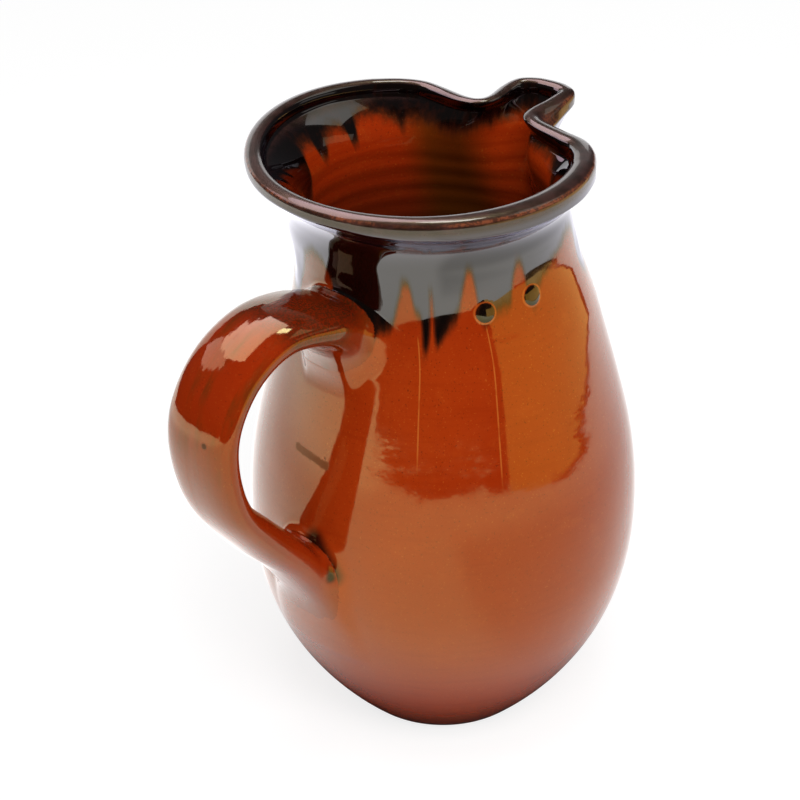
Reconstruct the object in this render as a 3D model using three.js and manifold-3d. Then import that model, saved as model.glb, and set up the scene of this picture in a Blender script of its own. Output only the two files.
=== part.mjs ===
// Clay jug: a wheel-thrown body with a pinched pouring spout, a pulled strap handle luted on behind it,
// and a dark second glaze poured over the rim, which has run and beaded down the neck.
// Millimetres, Z up. The origin is the centre of the foot. +X points out of the spout, -X to the handle.
import * as THREE from 'three';
import { mergeVertices } from 'three/addons/utils/BufferGeometryUtils.js';
import Module from 'manifold-3d';

const wasm = await Module();
wasm.setup();

// Thrown body: radii and heights of its outer wall
const FOOT_RADIUS = 29.4;
const FOOT_EDGE = 1.6; // rounding of the edge that the jug stands on
const BELLY_RADIUS = 64.6;
const BELLY_HEIGHT = 78;
const BELLY_FULLNESS = 2.3; // how soon the lower wall swells out
const NECK_RADIUS = 44.6;
const SHOULDER_DROP = 1.1; // above 1 the shoulder keeps its width a little longer
const RIM_RADIUS = 54.1;
const RIM_HEIGHT = 201.4; // where the lip is widest
const LIP_HEIGHT = 19.4; // from the narrowest place of the neck up to there
const LIP_FACE = 1.2; // the lip's upright outer face, below there
const LIP_FLARE = 2.5;
const LIP_RISE = 2.2; // from the widest place to the crest
const LIP_WIDTH = 4.3;
const SPOUT_LIP_WIDTH = 4.2;
const WIDE_LIP_WIDTH = 6.6; // the lip is wider on the near side, and is rolled down further there
const WIDE_LIP_ROLL = 2.6;
const WIDE_LIP_AT = -90; // degrees
const WIDE_LIP_SPREAD = 110;
const WALL = 4.6;
const FLOOR = 8;
const FLOOR_DISH = 1; // the floor's rise towards the wall

// The rim was pulled off the wheel's axis as the spout was pinched
const RIM_OFFSET = new THREE.Vector2(-5.1, 4.6);
const OFFSET_HEIGHT = 53.4; // it leans over this height below the lip
const RIM_LIFT = 2.4; // it stands this much higher on the far side
const RIM_LIFT_AT = 92; // degrees
const RIM_LIFT_SPREAD = 74;

// Pinched spout, in plan from the rim's centre
const SPOUT_REACH = 64.3;
const SPOUT_HALF_WIDTH = 11;
const SPOUT_CORNER = 4.2;
const SPOUT_SKEW = 1.8; // the near lip of the spout stands further out than the far one
const THROAT_HALF_WIDTH = 9.8;
const PINCH_DISTANCE = 38.8; // from the rim's centre to the pressed-in rim beside the throat
const PINCH_BEND = 5.2;
const PINCH_SKEW = 1.8; // the near pinch lies further out and to the side than the far one
const PINCH_AT = -26; // degrees
const PINCH_SPREAD = 18;
const SPOUT_HEIGHT = 40.4; // the wall swells out to it over this height below the lip
const SPOUT_PUSH = 9;
const SPOUT_SWELL = 1.4;
const SPOUT_LIFT = 2.4;
const SPOUT_SPREAD = 20; // degrees to each side of the spout's middle
const LIFT_SPREAD = 40;
const ROUND_FROM = 60; // degrees from the spout's middle where the rim is round again

// Strap handle: where it leaves and meets the wall, and its section
const ROOT_DEPTH = 41.9; // below the widest place of the lip
const CREST_RISE = 10.3; // how far the strap rises above its root
const TAIL_HEIGHT = 75;
const HANDLE_STAND_OFF = 40.2; // from the belly's wall to the middle of the strap, at its furthest
const HANDLE_SIDE = 1.2; // it was set on this far to one side
const STRAP_HALF_WIDTH = 13.8;
const STRAP_HALF_THICKNESS = 5.2;
const ROOT_HALF_WIDTH = 14.6;
const ROOT_HALF_THICKNESS = 9.6;
const SHOULDER_HALF_WIDTH = 16; // just outside the root
const SHOULDER_HALF_THICKNESS = 6.8;
const TAIL_HALF_WIDTH = 13;
const TAIL_HALF_THICKNESS = 6.4;
const TAIL_END_HALF_THICKNESS = 4;
const ROOT_SINK = 12; // how deep the strap begins in the neck's wall
const TAIL_SINK = 6.5; // how deep the end of the smeared tail lies in the wall
const TAIL_SMEAR = 15; // how far below the tail's middle it ends
const STRAP_SQUARENESS = 2.4; // 2 is an ellipse, more is squarer

// Clay worked in around both ends of the handle
const JOINT_CLAY = 2.8;
const JOINT_CLAY_EDGE = 0.9;
const JOINT_CLAY_SAG = 4.5; // the clay round the root is smeared downwards
const TAIL_CLAY = 2.2;

// Dark glaze coat, its runs and its beads
const COAT = 0.6;
const COAT_DEPTH = 27.9; // how far below the lip its lower edge lies outside the neck
const COAT_WAVE = 2.5; // how far that edge wanders
const BROAD_RUN_AT = -165; // degrees, beside the handle's root
const BROAD_RUN_SPREAD = 17;
const BROAD_RUN_DROP = 15;
const COAT_DEPTH_INSIDE = 24.4; // and inside it
const RUN_LENGTH = 15;
const RUN_WIDTH = 6;
const BEAD_WIDTH = 7.4;
const DROP_RISE = 1.5; // how far a run or a bead stands off the wall

const CLEARANCE = 0.3; // left between two touching pieces

// Mesh density
const FRONT_STEPS = 32;
const ROUND_STEPS = 30;

// Heights that follow from the lip's
const CREST = RIM_HEIGHT + LIP_RISE;
const NECK_HEIGHT = RIM_HEIGHT - LIP_HEIGHT;
const LIP_FOOT = RIM_HEIGHT - LIP_FACE;
const OFFSET_START = RIM_HEIGHT - OFFSET_HEIGHT;
const SPOUT_START = RIM_HEIGHT - SPOUT_HEIGHT;
const SPOUT_SWOLLEN = RIM_HEIGHT - 0.4 * LIP_HEIGHT;
const ROOT_HEIGHT = RIM_HEIGHT - ROOT_DEPTH;
const STRAP_CREST = ROOT_HEIGHT + CREST_RISE;

function smooth(from, to, x) {
  const t = THREE.MathUtils.clamp((x - from) / (to - from), 0, 1);
  return t * t * (3 - 2 * t);
}

// A bell, 1 at a place round the jug and 0 from the given spread on, both in degrees
function bell(angle, spread, at = 0) {
  const turn = angle - THREE.MathUtils.degToRad(at);
  const away = Math.abs(Math.atan2(Math.sin(turn), Math.cos(turn)));
  const t = Math.min(away / THREE.MathUtils.degToRad(spread), 1);
  return Math.cos(t * Math.PI / 2) ** 2;
}

// Radius of the outer wall, as thrown
function wallRadius(z) {
  if (z < BELLY_HEIGHT) {
    const t = Math.max(z, 0) / BELLY_HEIGHT;
    const swollen = 1 - (1 - t) ** BELLY_FULLNESS;
    return FOOT_RADIUS + (BELLY_RADIUS - FOOT_RADIUS) * swollen;
  }
  if (z < NECK_HEIGHT) {
    const t = ((z - BELLY_HEIGHT) / (NECK_HEIGHT - BELLY_HEIGHT)) ** SHOULDER_DROP;
    return BELLY_RADIUS + (NECK_RADIUS - BELLY_RADIUS) * smooth(0, 1, t);
  }
  const t = Math.min((z - NECK_HEIGHT) / (LIP_FOOT - NECK_HEIGHT), 1);
  return NECK_RADIUS + (RIM_RADIUS - NECK_RADIUS) * t ** LIP_FLARE;
}

function polar(radius, degrees) {
  const angle = THREE.MathUtils.degToRad(degrees);
  return new THREE.Vector2(radius * Math.cos(angle), radius * Math.sin(angle));
}

// Half of the rim's outer edge in plan, from the spout's middle to where the rim is round
function spoutEdge() {
  const front = SPOUT_REACH - SPOUT_CORNER;
  const waist = THROAT_HALF_WIDTH + PINCH_BEND;
  const points = [
    new THREE.Vector2(SPOUT_REACH, 0),
    new THREE.Vector2(SPOUT_REACH - SPOUT_CORNER / 6, SPOUT_HALF_WIDTH / 2),
    new THREE.Vector2(front, SPOUT_HALF_WIDTH * 0.94),
    new THREE.Vector2((front + PINCH_DISTANCE) / 2 + PINCH_BEND / 2, SPOUT_HALF_WIDTH),
    new THREE.Vector2(PINCH_DISTANCE + PINCH_BEND, THROAT_HALF_WIDTH),
    new THREE.Vector2(PINCH_DISTANCE + PINCH_BEND / 4, THROAT_HALF_WIDTH + PINCH_BEND / 5),
    new THREE.Vector2(PINCH_DISTANCE, waist),
    polar(RIM_RADIUS * 0.87, 33),
    polar(RIM_RADIUS * 0.95, 41),
    polar(RIM_RADIUS * 0.985, 50),
    polar(RIM_RADIUS, ROUND_FROM),
  ];
  return new THREE.SplineCurve(points);
}
const SPOUT_EDGE = spoutEdge();
SPOUT_EDGE.arcLengthDivisions = 800;

// Outer edge of the rim in plan, about the rim's own centre
function rimPlan(angle) {
  const turn = Math.abs(THREE.MathUtils.radToDeg(angle));
  const onSpout = turn < ROUND_FROM;
  const point = onSpout ? SPOUT_EDGE.getPointAt(turn / ROUND_FROM) : polar(RIM_RADIUS, turn);
  const y = angle < 0 ? -point.y : point.y;
  const skew = SPOUT_SKEW * THREE.MathUtils.clamp(y / SPOUT_HALF_WIDTH, -1, 1);
  const ahead = smooth(PINCH_DISTANCE + 2 * PINCH_BEND, SPOUT_REACH - SPOUT_CORNER, point.x);
  const pinchSkew = PINCH_SKEW * bell(angle, PINCH_SPREAD, PINCH_AT);
  return new THREE.Vector2(point.x - skew * ahead + pinchSkew, y - pinchSkew);
}

// Level curve of the outer wall at a height, at one angle about the wall's middle
function wallPoint(angle, z) {
  const round = new THREE.Vector2(Math.cos(angle), Math.sin(angle));
  const push = new THREE.Vector2(SPOUT_PUSH * bell(angle, SPOUT_SPREAD), 0);
  const pinch = rimPlan(angle).addScaledVector(round, -RIM_RADIUS).sub(push);
  const swell = SPOUT_SWELL * smooth(SPOUT_START, SPOUT_SWOLLEN, z)
    + (1 - SPOUT_SWELL) * smooth(SPOUT_SWOLLEN, CREST, z);
  const press = THREE.MathUtils.clamp((z - SPOUT_START) / (CREST - SPOUT_START), 0, 1) ** 3;
  const roll = WIDE_LIP_ROLL * bell(angle, WIDE_LIP_SPREAD, WIDE_LIP_AT);
  return round.multiplyScalar(wallRadius(z + roll * smooth(NECK_HEIGHT, RIM_HEIGHT, z)))
    .addScaledVector(push, swell)
    .addScaledVector(pinch, press)
    .addScaledVector(RIM_OFFSET, smooth(OFFSET_START, CREST, z));
}

// Angles round the jug: close together over the spout, wider apart behind it
function ringAngles() {
  const from = THREE.MathUtils.degToRad(ROUND_FROM);
  const angles = [];
  for (let i = 0; i < FRONT_STEPS; i++) angles.push(from * (2 * i / FRONT_STEPS - 1));
  for (let i = 0; i < ROUND_STEPS; i++) angles.push(from + 2 * (Math.PI - from) * i / ROUND_STEPS);
  return angles.map((angle) => (angle > Math.PI ? angle - 2 * Math.PI : angle));
}
const ANGLES = ringAngles();

// How far the spout and the rim's far side stand above the rest
function rimLift(angle, z) {
  const lift = SPOUT_LIFT * bell(angle, LIFT_SPREAD) + RIM_LIFT * bell(angle, RIM_LIFT_SPREAD, RIM_LIFT_AT);
  return lift * smooth(SPOUT_START, CREST, z);
}

// A ring of points at a height, set in from the wall's level curve by inset(angle), which may be negative.
// The way in is taken over two points to each side, so that the spout's tight corners don't fold.
function ring(z, inset) {
  const edge = ANGLES.map((angle) => wallPoint(angle, z));
  return edge.map((point, i) => {
    const before = edge[(i + edge.length - 2) % edge.length];
    const after = edge[(i + 2) % edge.length];
    const along = after.clone().sub(before).normalize().multiplyScalar(inset(ANGLES[i]));
    return new THREE.Vector3(point.x - along.y, point.y + along.x, z + rimLift(ANGLES[i], z));
  });
}

function levelRing(z, inset = 0) {
  return ring(z, () => inset);
}

// Heights shared out between two places, the first left out
function heightsBetween(from, to, count) {
  return Array.from({ length: count }, (_, i) => from + (to - from) * (i + 1) / count);
}

// Heights of the outer wall's rings: closer under the lip, where the wall flares
const OUTER_HEIGHTS = [
  FOOT_EDGE,
  ...heightsBetween(FOOT_EDGE, BELLY_HEIGHT, 8),
  ...heightsBetween(BELLY_HEIGHT, NECK_HEIGHT, 8),
  ...heightsBetween(0, 1, 6).map((t) => NECK_HEIGHT + (LIP_FOOT - NECK_HEIGHT) * (1 - (1 - t) ** 1.6)),
  RIM_HEIGHT,
];

// The lip's section: inset from the widest place and drop below the crest, as shares of width and rise
const LIP_SECTION = [
  [0.05, 0.35],
  [0.28, 0],
  [0.55, 0],
  [0.85, 0.35],
  [1, 0.95],
];

function lipWidth(angle) {
  const wide = (WIDE_LIP_WIDTH - LIP_WIDTH) * bell(angle, WIDE_LIP_SPREAD, WIDE_LIP_AT);
  return LIP_WIDTH + wide + (SPOUT_LIP_WIDTH - LIP_WIDTH) * bell(angle, LIFT_SPREAD);
}

function lipRings(outward) {
  return LIP_SECTION.map(([across, drop]) => {
    const z = CREST - drop * LIP_RISE + (drop < 0.9 ? outward : 0);
    const push = outward * Math.cos(across * Math.PI);
    return ring(z, (angle) => across * lipWidth(angle) - push);
  });
}

// A closed surface through rings of equal count. With caps both ends are closed to their middles,
// and without them the last ring joins the first.
function loft(rings, capped) {
  const count = rings[0].length;
  const points = rings.flat();
  const faces = [];
  const bands = capped ? rings.length - 1 : rings.length;
  for (let i = 0; i < bands; i++) {
    for (let j = 0; j < count; j++) {
      const a = i * count + j;
      const b = i * count + (j + 1) % count;
      const c = ((i + 1) % rings.length) * count + (j + 1) % count;
      const d = ((i + 1) % rings.length) * count + j;
      faces.push(a, b, c, a, c, d);
    }
  }
  if (capped) {
    for (const [row, turned] of [[0, false], [rings.length - 1, true]]) {
      const middle = new THREE.Vector3();
      rings[row].forEach((point) => middle.addScaledVector(point, 1 / count));
      points.push(middle);
      for (let j = 0; j < count; j++) {
        const a = row * count + j;
        const b = row * count + (j + 1) % count;
        faces.push(...(turned ? [points.length - 1, a, b] : [points.length - 1, b, a]));
      }
    }
  }
  const geometry = new THREE.BufferGeometry();
  geometry.setAttribute('position', new THREE.Float32BufferAttribute(points.flatMap((p) => p.toArray()), 3));
  geometry.setIndex(faces);
  geometry.computeVertexNormals();
  return geometry;
}

function solidFrom(geometry) {
  const bare = geometry.clone();
  bare.deleteAttribute('normal');
  bare.deleteAttribute('uv');
  const merged = mergeVertices(bare, 1e-5);
  return new wasm.Manifold(new wasm.Mesh({
    numProp: 3,
    vertProperties: merged.attributes.position.array,
    triVerts: new Uint32Array(merged.index.array),
  }));
}

// The main piece of a solid, without shavings that a cut may leave
function mainPiece(solid) {
  return solid.decompose().sort((a, b) => b.volume() - a.volume())[0];
}

function geometryFrom(solid) {
  const cut = solid.getMesh();
  const geometry = new THREE.BufferGeometry();
  geometry.setAttribute('position', new THREE.BufferAttribute(cut.vertProperties, 3));
  geometry.setIndex(new THREE.BufferAttribute(cut.triVerts, 1));
  geometry.computeVertexNormals();
  return geometry;
}

// Heights of the inner wall's rings, from under the lip down to above the floor
const INNER_HEIGHTS = [
  ...heightsBetween(RIM_HEIGHT - 0.05 * LIP_HEIGHT, NECK_HEIGHT, 3),
  ...heightsBetween(NECK_HEIGHT, BELLY_HEIGHT, 6),
  ...heightsBetween(BELLY_HEIGHT, FLOOR + WALL, 5),
];

// Inner wall: the wall's thickness in from the outside, running out into the lip at the top
function innerRing(z, depth = 0) {
  const nearLip = smooth(NECK_HEIGHT, RIM_HEIGHT, z);
  return ring(z, (angle) => WALL + (lipWidth(angle) - WALL) * nearLip + depth);
}

// Thrown body: foot, outer wall, lip, inner wall and floor, one skin round the clay, grown by a depth
function bodyGeometry(depth = 0) {
  return loft([
    levelRing(0, FOOT_EDGE - depth),
    ...OUTER_HEIGHTS.map((z) => levelRing(z, -depth)),
    ...lipRings(depth),
    ...INNER_HEIGHTS.map((z) => innerRing(z, depth)),
    levelRing(FLOOR + FLOOR_DISH, WALL * 2 + depth),
    levelRing(FLOOR, WALL * 3 + depth),
  ], true);
}

// The body's outside filled solid and grown by the clearance, to cut what lies on it
function bodyCutter() {
  const rings = OUTER_HEIGHTS.map((z) => levelRing(z, -CLEARANCE));
  return solidFrom(loft(rings, true));
}

// Where the outer wall crosses the plane through the handle, behind the jug
function wallBehind(z) {
  return wallPoint(Math.PI, z).x;
}

const NECK_WALL = wallBehind(ROOT_HEIGHT);
const BELLY_WALL = wallBehind(TAIL_HEIGHT);

// The free part of the strap, from its crest to its tail: shares of the way out from the belly's wall,
// and of the way down from the crest, with the half width and half thickness of its section
const STRAP_BEND = [
  [0.347, 0, STRAP_HALF_WIDTH + 0.4, STRAP_HALF_THICKNESS + 0.3],
  [0.714, 0.063, STRAP_HALF_WIDTH, STRAP_HALF_THICKNESS],
  [0.955, 0.195, STRAP_HALF_WIDTH, STRAP_HALF_THICKNESS],
  [1, 0.351, STRAP_HALF_WIDTH, STRAP_HALF_THICKNESS],
  [0.874, 0.542, STRAP_HALF_WIDTH - 0.4, STRAP_HALF_THICKNESS + 0.4],
  [0.563, 0.713, TAIL_HALF_WIDTH, TAIL_HALF_THICKNESS],
  [0.246, 0.857, TAIL_HALF_WIDTH, TAIL_HALF_THICKNESS],
];

function bendPoint([out, down, halfWidth, halfThickness]) {
  const x = BELLY_WALL - HANDLE_STAND_OFF * out;
  const z = STRAP_CREST + (TAIL_HEIGHT - STRAP_CREST) * down;
  return [x, z, halfWidth, halfThickness];
}

// The whole route in that plane, with its ends in the wall
const SHOULDER_OUT = 1.36 * CREST_RISE;
const SHOULDER_UP = 0.767 * CREST_RISE;
const STRAP_ROUTE = [
  [NECK_WALL + ROOT_SINK, ROOT_HEIGHT - 0.625 * ROOT_SINK, ROOT_HALF_WIDTH, ROOT_HALF_THICKNESS],
  [NECK_WALL, ROOT_HEIGHT, ROOT_HALF_WIDTH, ROOT_HALF_THICKNESS],
  [NECK_WALL - SHOULDER_OUT, ROOT_HEIGHT + SHOULDER_UP, SHOULDER_HALF_WIDTH, SHOULDER_HALF_THICKNESS],
  ...STRAP_BEND.map(bendPoint),
  [BELLY_WALL, TAIL_HEIGHT, TAIL_HALF_WIDTH, TAIL_HALF_THICKNESS],
  [BELLY_WALL + TAIL_SINK, TAIL_HEIGHT - TAIL_SMEAR, TAIL_HALF_WIDTH, TAIL_END_HALF_THICKNESS],
];

// The strap between two shares of its route, its section grown by growAt(share) and lowered by sag
function strapLoft(from, to, steps, growAt, sag = 0) {
  const route = new THREE.CatmullRomCurve3(
    STRAP_ROUTE.map(([x, z]) => new THREE.Vector3(x, HANDLE_SIDE, z)),
    false,
    'catmullrom',
    0.5,
  );
  const sizes = new THREE.SplineCurve(
    STRAP_ROUTE.map(([, , halfWidth, halfThickness]) => new THREE.Vector2(halfWidth, halfThickness)),
  );
  const sides = 20;
  const rings = [];
  for (let i = 0; i <= steps; i++) {
    const share = from + (to - from) * i / steps;
    const middle = route.getPoint(share);
    const along = route.getTangent(share);
    const outward = new THREE.Vector3(along.z, 0, -along.x);
    const size = sizes.getPoint(share);
    const grow = growAt(share);
    const section = [];
    for (let j = 0; j < sides; j++) {
      const turn = -2 * Math.PI * j / sides;
      const across = Math.sign(Math.cos(turn)) * Math.abs(Math.cos(turn)) ** (2 / STRAP_SQUARENESS);
      const up = Math.sign(Math.sin(turn)) * Math.abs(Math.sin(turn)) ** (2 / STRAP_SQUARENESS);
      const point = middle.clone().addScaledVector(outward, (size.y + grow) * up);
      point.y += (size.x + grow) * across;
      point.z -= sag;
      section.push(point);
    }
    rings.push(section);
  }
  return solidFrom(loft(rings, true));
}

// Shares of the strap's route where the worked-in clay begins and ends
const ROOT_CLAY_END = 0.165;
const TAIL_CLAY_START = 0.8;
const TAIL_CLAY_END = 0.94;

function rootClayGrowth(share) {
  const fading = smooth(ROOT_CLAY_END / 2, ROOT_CLAY_END, share);
  return JOINT_CLAY + (JOINT_CLAY_EDGE - JOINT_CLAY) * fading;
}

function tailClayGrowth(share) {
  const middle = (TAIL_CLAY_START + TAIL_CLAY_END) / 2;
  const out = smooth(TAIL_CLAY_START, middle, share) - smooth(middle, TAIL_CLAY_END, share);
  return JOINT_CLAY_EDGE + (TAIL_CLAY - JOINT_CLAY_EDGE) * out;
}

// Lower edges of the dark coat outside and inside the neck, each a slow wave round it
function coatEdge(angle) {
  const run = BROAD_RUN_DROP * bell(angle, BROAD_RUN_SPREAD, BROAD_RUN_AT);
  return RIM_HEIGHT - COAT_DEPTH + COAT_WAVE * (Math.sin(3 * angle + 1) + Math.sin(7 * angle)) / 2 - run;
}

function coatEdgeInside(angle) {
  return RIM_HEIGHT - COAT_DEPTH_INSIDE + COAT_WAVE * (Math.sin(2 * angle) + Math.sin(5 * angle + 2)) / 2;
}

// What lies below those edges: a block whose top steps between them inside the clay
function belowCoat() {
  const block = 2 * BELLY_RADIUS;
  const around = (radius, height) => ANGLES.map((angle) => {
    const point = wallPoint(angle, NECK_HEIGHT);
    point.setLength(point.length() + radius);
    return new THREE.Vector3(point.x, point.y, height(angle));
  });
  return solidFrom(loft([
    around(block, () => -FLOOR),
    around(block, coatEdge),
    around(-WALL / 2, coatEdge),
    around(-WALL / 2 - CLEARANCE, coatEdgeInside),
    around(-3 * WALL, coatEdgeInside),
  ], true));
}

// Dark glaze coat: a thin shell over the neck, the lip and the top of the inner wall
function coatSolid() {
  const over = solidFrom(bodyGeometry(CLEARANCE + COAT));
  const under = solidFrom(bodyGeometry(CLEARANCE));
  return over.subtract(under).subtract(belowCoat());
}

// A drop of thick glaze lying on the wall, cut to its face
function drop(degrees, z, width, length, cutter) {
  const angle = THREE.MathUtils.degToRad(degrees);
  const foot = wallPoint(angle, z);
  const head = wallPoint(angle, z + length / 4);
  const geometry = new THREE.SphereGeometry(1, 16, 12);
  geometry.scale(DROP_RISE + CLEARANCE, width / 2, length / 2);
  geometry.rotateY(-Math.atan2(foot.distanceTo(head), length / 4));
  geometry.rotateZ(angle);
  geometry.translate(foot.x, foot.y, z);
  return solidFrom(geometry).subtract(cutter);
}

function mesh(name, geometry, material) {
  const piece = new THREE.Mesh(geometry, material);
  piece.name = name;
  return piece;
}

const honeyGlaze = () => new THREE.MeshStandardMaterial({ color: 0x9c4a1c, roughness: 0.12, metalness: 0 });
const darkGlaze = () => new THREE.MeshStandardMaterial({ color: 0x1c0f0a, roughness: 0.1, metalness: 0 });

const cutter = bodyCutter();
const rootClayStock = strapLoft(0, ROOT_CLAY_END, 8, rootClayGrowth, JOINT_CLAY_SAG);
const rootBoreGrowth = (share) => rootClayGrowth(share) + CLEARANCE;
const rootClayBore = strapLoft(0, ROOT_CLAY_END, 8, rootBoreGrowth, JOINT_CLAY_SAG);
const tailClayStock = strapLoft(TAIL_CLAY_START, TAIL_CLAY_END, 10, tailClayGrowth);
const strapBore = strapLoft(0, 1, 36, () => CLEARANCE);
const rootClay = rootClayStock.subtract(cutter).subtract(strapBore);
const tailClay = tailClayStock.subtract(cutter).subtract(strapBore);

const jug = new THREE.Group();
jug.add(mesh('jug_body', bodyGeometry(), honeyGlaze()));
jug.add(mesh('handle', geometryFrom(strapLoft(0, 1, 36, () => 0).subtract(cutter)), honeyGlaze()));
jug.add(mesh('upper_joint_clay', geometryFrom(rootClay), honeyGlaze()));
jug.add(mesh('lower_joint_clay', geometryFrom(tailClay), honeyGlaze()));
const coat = mainPiece(coatSolid().subtract(rootClayBore).subtract(strapBore));
jug.add(mesh('rim_glaze', geometryFrom(coat), darkGlaze()));

// Runs and beads on the side of the neck, beside the handle
const DROPS = [
  ['glaze_run_left', -146, RUN_WIDTH, RUN_LENGTH],
  ['glaze_run_right', -137, RUN_WIDTH, RUN_LENGTH],
  ['glaze_bead_left', -121, BEAD_WIDTH, BEAD_WIDTH],
  ['glaze_bead_right', -101, BEAD_WIDTH, BEAD_WIDTH],
];
for (const [name, degrees, width, length] of DROPS) {
  const below = coatEdge(THREE.MathUtils.degToRad(degrees)) - length / 2 - CLEARANCE;
  jug.add(mesh(name, geometryFrom(drop(degrees, below, width, length, cutter)), darkGlaze()));
}

export default jug;
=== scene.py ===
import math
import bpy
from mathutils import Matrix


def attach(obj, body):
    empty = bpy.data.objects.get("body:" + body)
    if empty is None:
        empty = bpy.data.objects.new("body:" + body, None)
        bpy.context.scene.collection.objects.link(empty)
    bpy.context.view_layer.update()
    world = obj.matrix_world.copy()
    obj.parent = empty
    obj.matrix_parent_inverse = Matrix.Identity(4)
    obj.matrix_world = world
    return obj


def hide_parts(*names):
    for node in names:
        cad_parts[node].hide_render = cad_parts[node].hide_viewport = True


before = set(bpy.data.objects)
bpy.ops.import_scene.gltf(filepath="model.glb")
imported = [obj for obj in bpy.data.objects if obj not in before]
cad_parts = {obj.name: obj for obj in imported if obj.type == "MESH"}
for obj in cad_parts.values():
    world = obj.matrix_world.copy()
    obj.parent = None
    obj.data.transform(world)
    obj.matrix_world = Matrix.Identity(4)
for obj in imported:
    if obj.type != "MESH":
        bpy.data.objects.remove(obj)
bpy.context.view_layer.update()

# Clay jug: glazed body with runs and beads of dark glaze, and a strap handle grown into it.
# Sizes are the part's own, in millimetres until a mesh is made, which is in metres.
from types import SimpleNamespace

import bpy
import numpy as np
from mathutils import Matrix, Vector

# Thrown body; angles are in degrees, from the spout
FOOT_RADIUS = 29.4
FOOT_EDGE = 1.6
BELLY_RADIUS = 64.6
BELLY_HEIGHT = 78
BELLY_FULLNESS = 2.3
NECK_RADIUS = 44.6
SHOULDER_DROP = 1.1
RIM_RADIUS = 54.1
RIM_HEIGHT = 201.4
LIP_HEIGHT = 19.4
LIP_FACE = 1.2
LIP_FLARE = 2.5
LIP_RISE = 2.2
LIP_WIDTH = 4.3
WIDE_LIP_WIDTH = 6.6
WIDE_LIP_AT = -90
WIDE_LIP_SPREAD = 110
WIDE_LIP_ROLL = 2.6
SPOUT_LIP_WIDTH = 4.2
WALL = 4.6
FLOOR = 8
RIM_OFFSET = np.array([-5.1, 4.6])
OFFSET_HEIGHT = 53.4
RIM_LIFT = 2.4
RIM_LIFT_AT = 92
RIM_LIFT_SPREAD = 74
CREST = RIM_HEIGHT + LIP_RISE
NECK_HEIGHT = RIM_HEIGHT - LIP_HEIGHT
LIP_FOOT = RIM_HEIGHT - LIP_FACE
OFFSET_START = RIM_HEIGHT - OFFSET_HEIGHT

# Spout
SPOUT_REACH = 64.3
SPOUT_HALF_WIDTH = 11
SPOUT_CORNER = 4.2
SPOUT_SKEW = 1.8
THROAT_HALF_WIDTH = 9.8
PINCH_DISTANCE = 38.8
PINCH_BEND = 5.2
PINCH_SKEW = 1.8
PINCH_AT = -26
PINCH_SPREAD = 18
SPOUT_HEIGHT = 40.4
SPOUT_START = RIM_HEIGHT - SPOUT_HEIGHT
SPOUT_SWOLLEN = RIM_HEIGHT - 0.4 * LIP_HEIGHT
SPOUT_PUSH = 9
SPOUT_SWELL = 1.4
SPOUT_PRESS = 3  # power with which the wall turns into the rim's plan on its way up
SPOUT_LIFT = 2.4
SPOUT_SPREAD = 20
LIFT_SPREAD = 40
ROUND_FROM = 60

# Strap handle; pairs are half a width and half a thickness
ROOT_DEPTH = 41.9
ROOT_HEIGHT = RIM_HEIGHT - ROOT_DEPTH
CREST_RISE = 10.3
STRAP_CREST = ROOT_HEIGHT + CREST_RISE
TAIL_HEIGHT = 75
HANDLE_STAND_OFF = 40.2
HANDLE_SIDE = 1.2
STRAP_SQUARENESS = 2.4
ROOT_SINK = 12
ROOT_DIP = 7.5
ROOT_HALF = (14.6, 9.6)
SHOULDER_REACH = 14
SHOULDER_RISE = 7.9
SHOULDER_HALF = (16, 6.8)
STRAP_HALF = (13.8, 5.2)
TAIL_HALF = (13, 6.4)
TAIL_END_HALF = (13, 4)
TAIL_SINK = 6.5
TAIL_SMEAR = 15

# The dark coat stands this far off the clay, and gets its thickness between these heights
COAT = 0.9
COAT_THINS = (167, 183)
COAT_THINS_INSIDE = (165, 182)


def smooth(start, end, x):
    t = np.clip((np.asarray(x, float) - start) / (end - start), 0, 1)
    return t * t * (3 - 2 * t)


def wrapped(angle):
    return (np.asarray(angle) + math.pi) % (2 * math.pi) - math.pi


def bell(angle, spread, at=0):
    """1 at an angle, falling softly to 0 at a spread to each side."""
    t = np.minimum(np.abs(wrapped(angle - math.radians(at))) / math.radians(spread), 1)
    return np.cos(t * math.pi / 2) ** 2


def wall_radius(z):
    z = np.asarray(z, float)
    low = np.clip(z / BELLY_HEIGHT, 0, 1)
    belly = FOOT_RADIUS + (BELLY_RADIUS - FOOT_RADIUS) * (1 - (1 - low) ** BELLY_FULLNESS)
    up = np.clip((z - BELLY_HEIGHT) / (NECK_HEIGHT - BELLY_HEIGHT), 0, 1) ** SHOULDER_DROP
    shoulder = BELLY_RADIUS + (NECK_RADIUS - BELLY_RADIUS) * smooth(0, 1, up)
    flare = np.clip((z - NECK_HEIGHT) / (LIP_FOOT - NECK_HEIGHT), 0, 1) ** LIP_FLARE
    lip = NECK_RADIUS + (RIM_RADIUS - NECK_RADIUS) * flare
    return np.where(z < BELLY_HEIGHT, belly, np.where(z < NECK_HEIGHT, shoulder, lip))


def unit(vectors):
    return vectors / np.linalg.norm(vectors, axis=-1, keepdims=True)


def spline(points, count, closed_ends=True):
    """Points spread along a Catmull-Rom curve by its parameter, like the part's own curves."""
    points = np.asarray(points, float)
    first = points[0] if closed_ends else 2 * points[0] - points[1]
    last = points[-1] if closed_ends else 2 * points[-1] - points[-2]
    knots = np.vstack([first, points, last])
    share = np.linspace(0, len(points) - 1, count)
    i = np.minimum(share.astype(int), len(points) - 2)
    t = (share - i)[:, None]
    a, b, c, d = knots[i], knots[i + 1], knots[i + 2], knots[i + 3]
    v0, v1 = (c - a) / 2, (d - b) / 2
    return (2 * b - 2 * c + v0 + v1) * t ** 3 + (-3 * b + 3 * c - 2 * v0 - v1) * t ** 2 + v0 * t + b


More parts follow.
